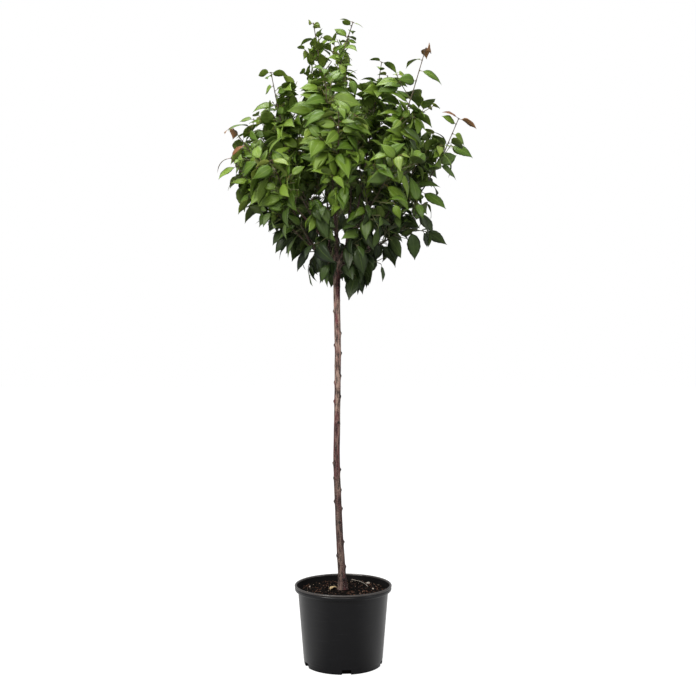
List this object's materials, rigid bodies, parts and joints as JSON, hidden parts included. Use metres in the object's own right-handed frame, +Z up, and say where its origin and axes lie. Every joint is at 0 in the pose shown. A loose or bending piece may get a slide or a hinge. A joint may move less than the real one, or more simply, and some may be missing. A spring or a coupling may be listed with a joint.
{
  "type": "potted japanese flowering cherry",
  "caption": "Young standard flowering cherry in summer leaf, a slim bare stem under a rounded open crown, in a round black nursery pot.",
  "frame": {"origin": "centre of the flat underside of the pot", "axes": "+Z up along the stem, +X to the plant's right seen from the front, -Y towards the front"},
  "size_m": [0.7486, 0.6381, 1.8557],
  "materials": {
    "pot_plastic": "satin black, moulded",
    "compost": "dark crumb",
    "bark": "smooth bark with rings of breathing pores",
    "leaf": "glossy leaf"
  },
  "bodies": {
    "root": {"pot": "pot_plastic", "compost": "compost", "trunk": "bark", "bough_top_left": "bark", "bough_upper_right": "bark", "bough_far_right": "bark", "bough_low_left": "bark", "bough_upper_left": "bark", "bough_front": "bark", "bough_back_right": "bark", "bough_back_left": "bark", "bough_top_middle": "bark", "bough_upper_middle": "bark", "bough_crown_top": "bark", "bough_right": "bark", "bough_left": "bark", "bough_left_high": "bark", "bough_low_right": "bark", "bough_front_left": "bark", "bough_front_right": "bark", "bough_upper_front": "bark", "bough_upper_back": "bark", "bough_back": "bark", "foliage_top_left": "leaf", "foliage_upper_right": "leaf", "foliage_far_right": "leaf", "foliage_low_left": "leaf", "foliage_upper_left": "leaf", "foliage_front": "leaf", "foliage_back_right": "leaf", "foliage_back_left": "leaf", "foliage_top_middle": "leaf", "foliage_upper_middle": "leaf", "foliage_crown_top": "leaf", "foliage_right": "leaf", "foliage_left": "leaf", "foliage_left_high": "leaf", "foliage_low_right": "leaf", "foliage_front_left": "leaf", "foliage_front_right": "leaf", "foliage_upper_front": "leaf", "foliage_upper_back": "leaf", "foliage_back": "leaf", "foliage_skirt_left": "leaf", "foliage_skirt_front": "leaf", "foliage_skirt_near_right": "leaf", "foliage_skirt_right": "leaf", "foliage_skirt_back": "leaf", "foliage_low_spur": "leaf"}
  },
  "joints": []
}
